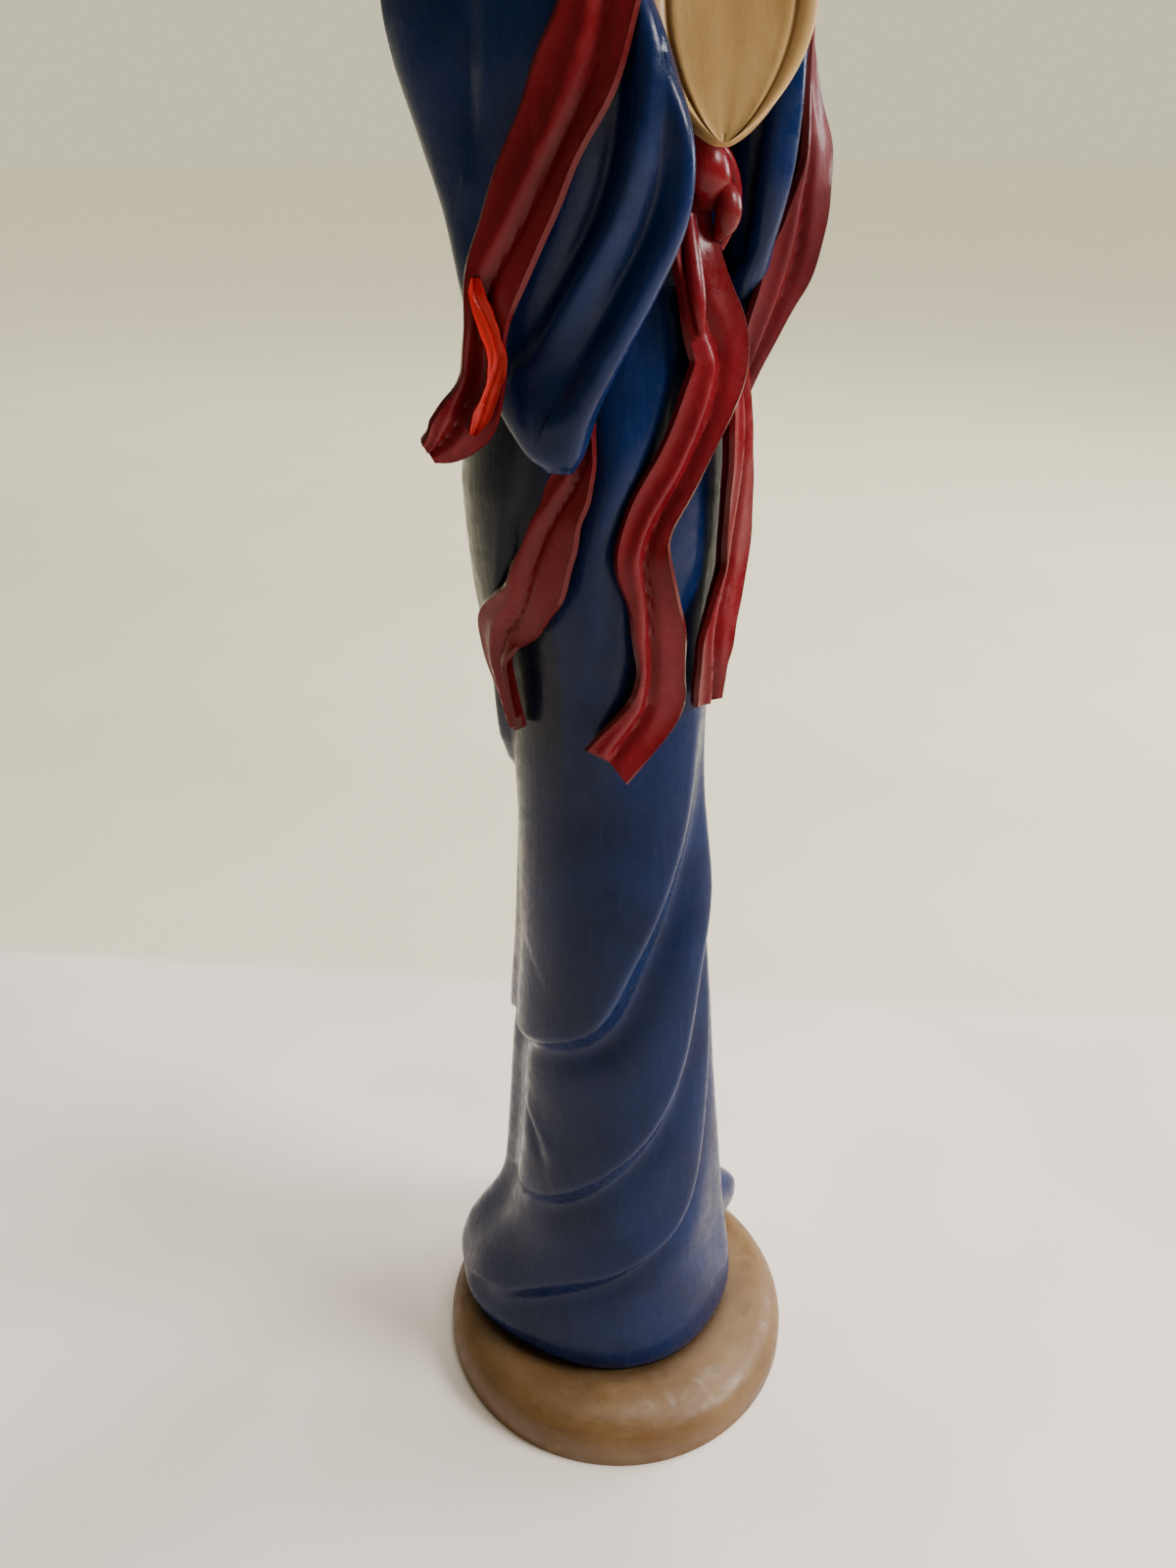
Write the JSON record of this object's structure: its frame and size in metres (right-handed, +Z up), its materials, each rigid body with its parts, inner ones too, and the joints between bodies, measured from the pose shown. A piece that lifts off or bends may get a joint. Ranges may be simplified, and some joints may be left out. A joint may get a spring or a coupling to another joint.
{
  "type": "angel figurine",
  "caption": "Tall slim angel figurine in a belted gown with hanging sleeves, a long stole, a knotted sash, a lute and folded wings, on a low round plinth.",
  "frame": {"origin": "centre of the plinth's underside", "axes": "+Z up; the figure faces -Y; +X is the figure's left"},
  "size_m": [0.0611, 0.06, 0.3011],
  "materials": {
    "plinth": "cast resin painted in a satin gold-brown",
    "figure": "cast resin under semi-gloss hand-painted blue and crimson",
    "lute": "cast resin painted ochre and cream",
    "wings": "cast resin painted ivory"
  },
  "bodies": {
    "root": {"plinth": "plinth", "figure": "figure", "lute": "lute", "wing_left": "wings", "wing_right": "wings"}
  },
  "joints": []
}
